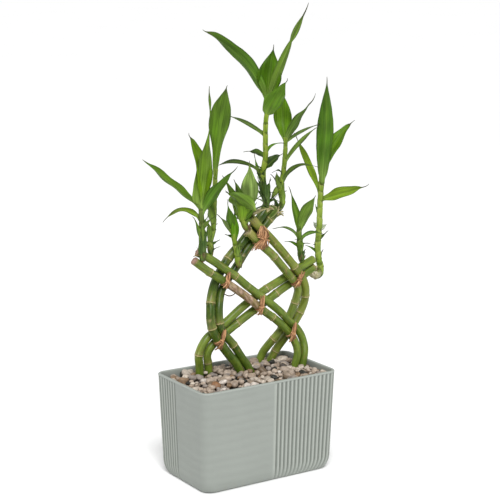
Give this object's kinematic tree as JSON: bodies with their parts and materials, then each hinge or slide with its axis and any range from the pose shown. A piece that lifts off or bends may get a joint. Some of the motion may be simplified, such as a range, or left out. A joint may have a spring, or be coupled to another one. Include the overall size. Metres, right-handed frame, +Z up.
{
  "type": "potted lucky bamboo",
  "caption": "Lucky bamboo canes woven into an open lattice and tied with raffia, topped with leafy shoots, in a pebble-dressed ribbed ceramic pot.",
  "frame": {"origin": "centre of the pot's foot, on the surface that it stands on", "axes": "+Z up; +X along the pot's long side, to the right as seen from the front; -Y towards the viewer, at the front of the lattice"},
  "size_m": [0.2331, 0.101, 0.4281],
  "materials": {
    "pot_glaze": "matt sage grey",
    "soil": "dark growing mix",
    "pebbles": "washed beige and tan pebbles",
    "cane": "waxy green cane",
    "leaf": "satin green leaf",
    "raffia": "dry straw"
  },
  "bodies": {
    "root": {"pot": "pot_glaze", "soil": "soil", "pebble_bed": "pebbles", "cane_a1": "cane", "cane_a2": "cane", "cane_b1": "cane", "cane_b2": "cane", "cane_c1": "cane", "cane_c2": "cane", "cane_d1": "cane", "cane_d2": "cane", "shoot_1": "leaf", "shoot_2": "leaf", "shoot_3": "leaf", "shoot_4": "leaf", "shoot_5": "leaf", "shoot_6": "leaf", "shoot_7": "leaf", "shoot_8": "leaf", "shoot_9": "leaf", "tie_low_left": "raffia", "tie_low_right": "raffia", "tie_middle": "raffia", "tie_left": "raffia", "tie_right": "raffia", "tie_top": "raffia"}
  },
  "joints": []
}
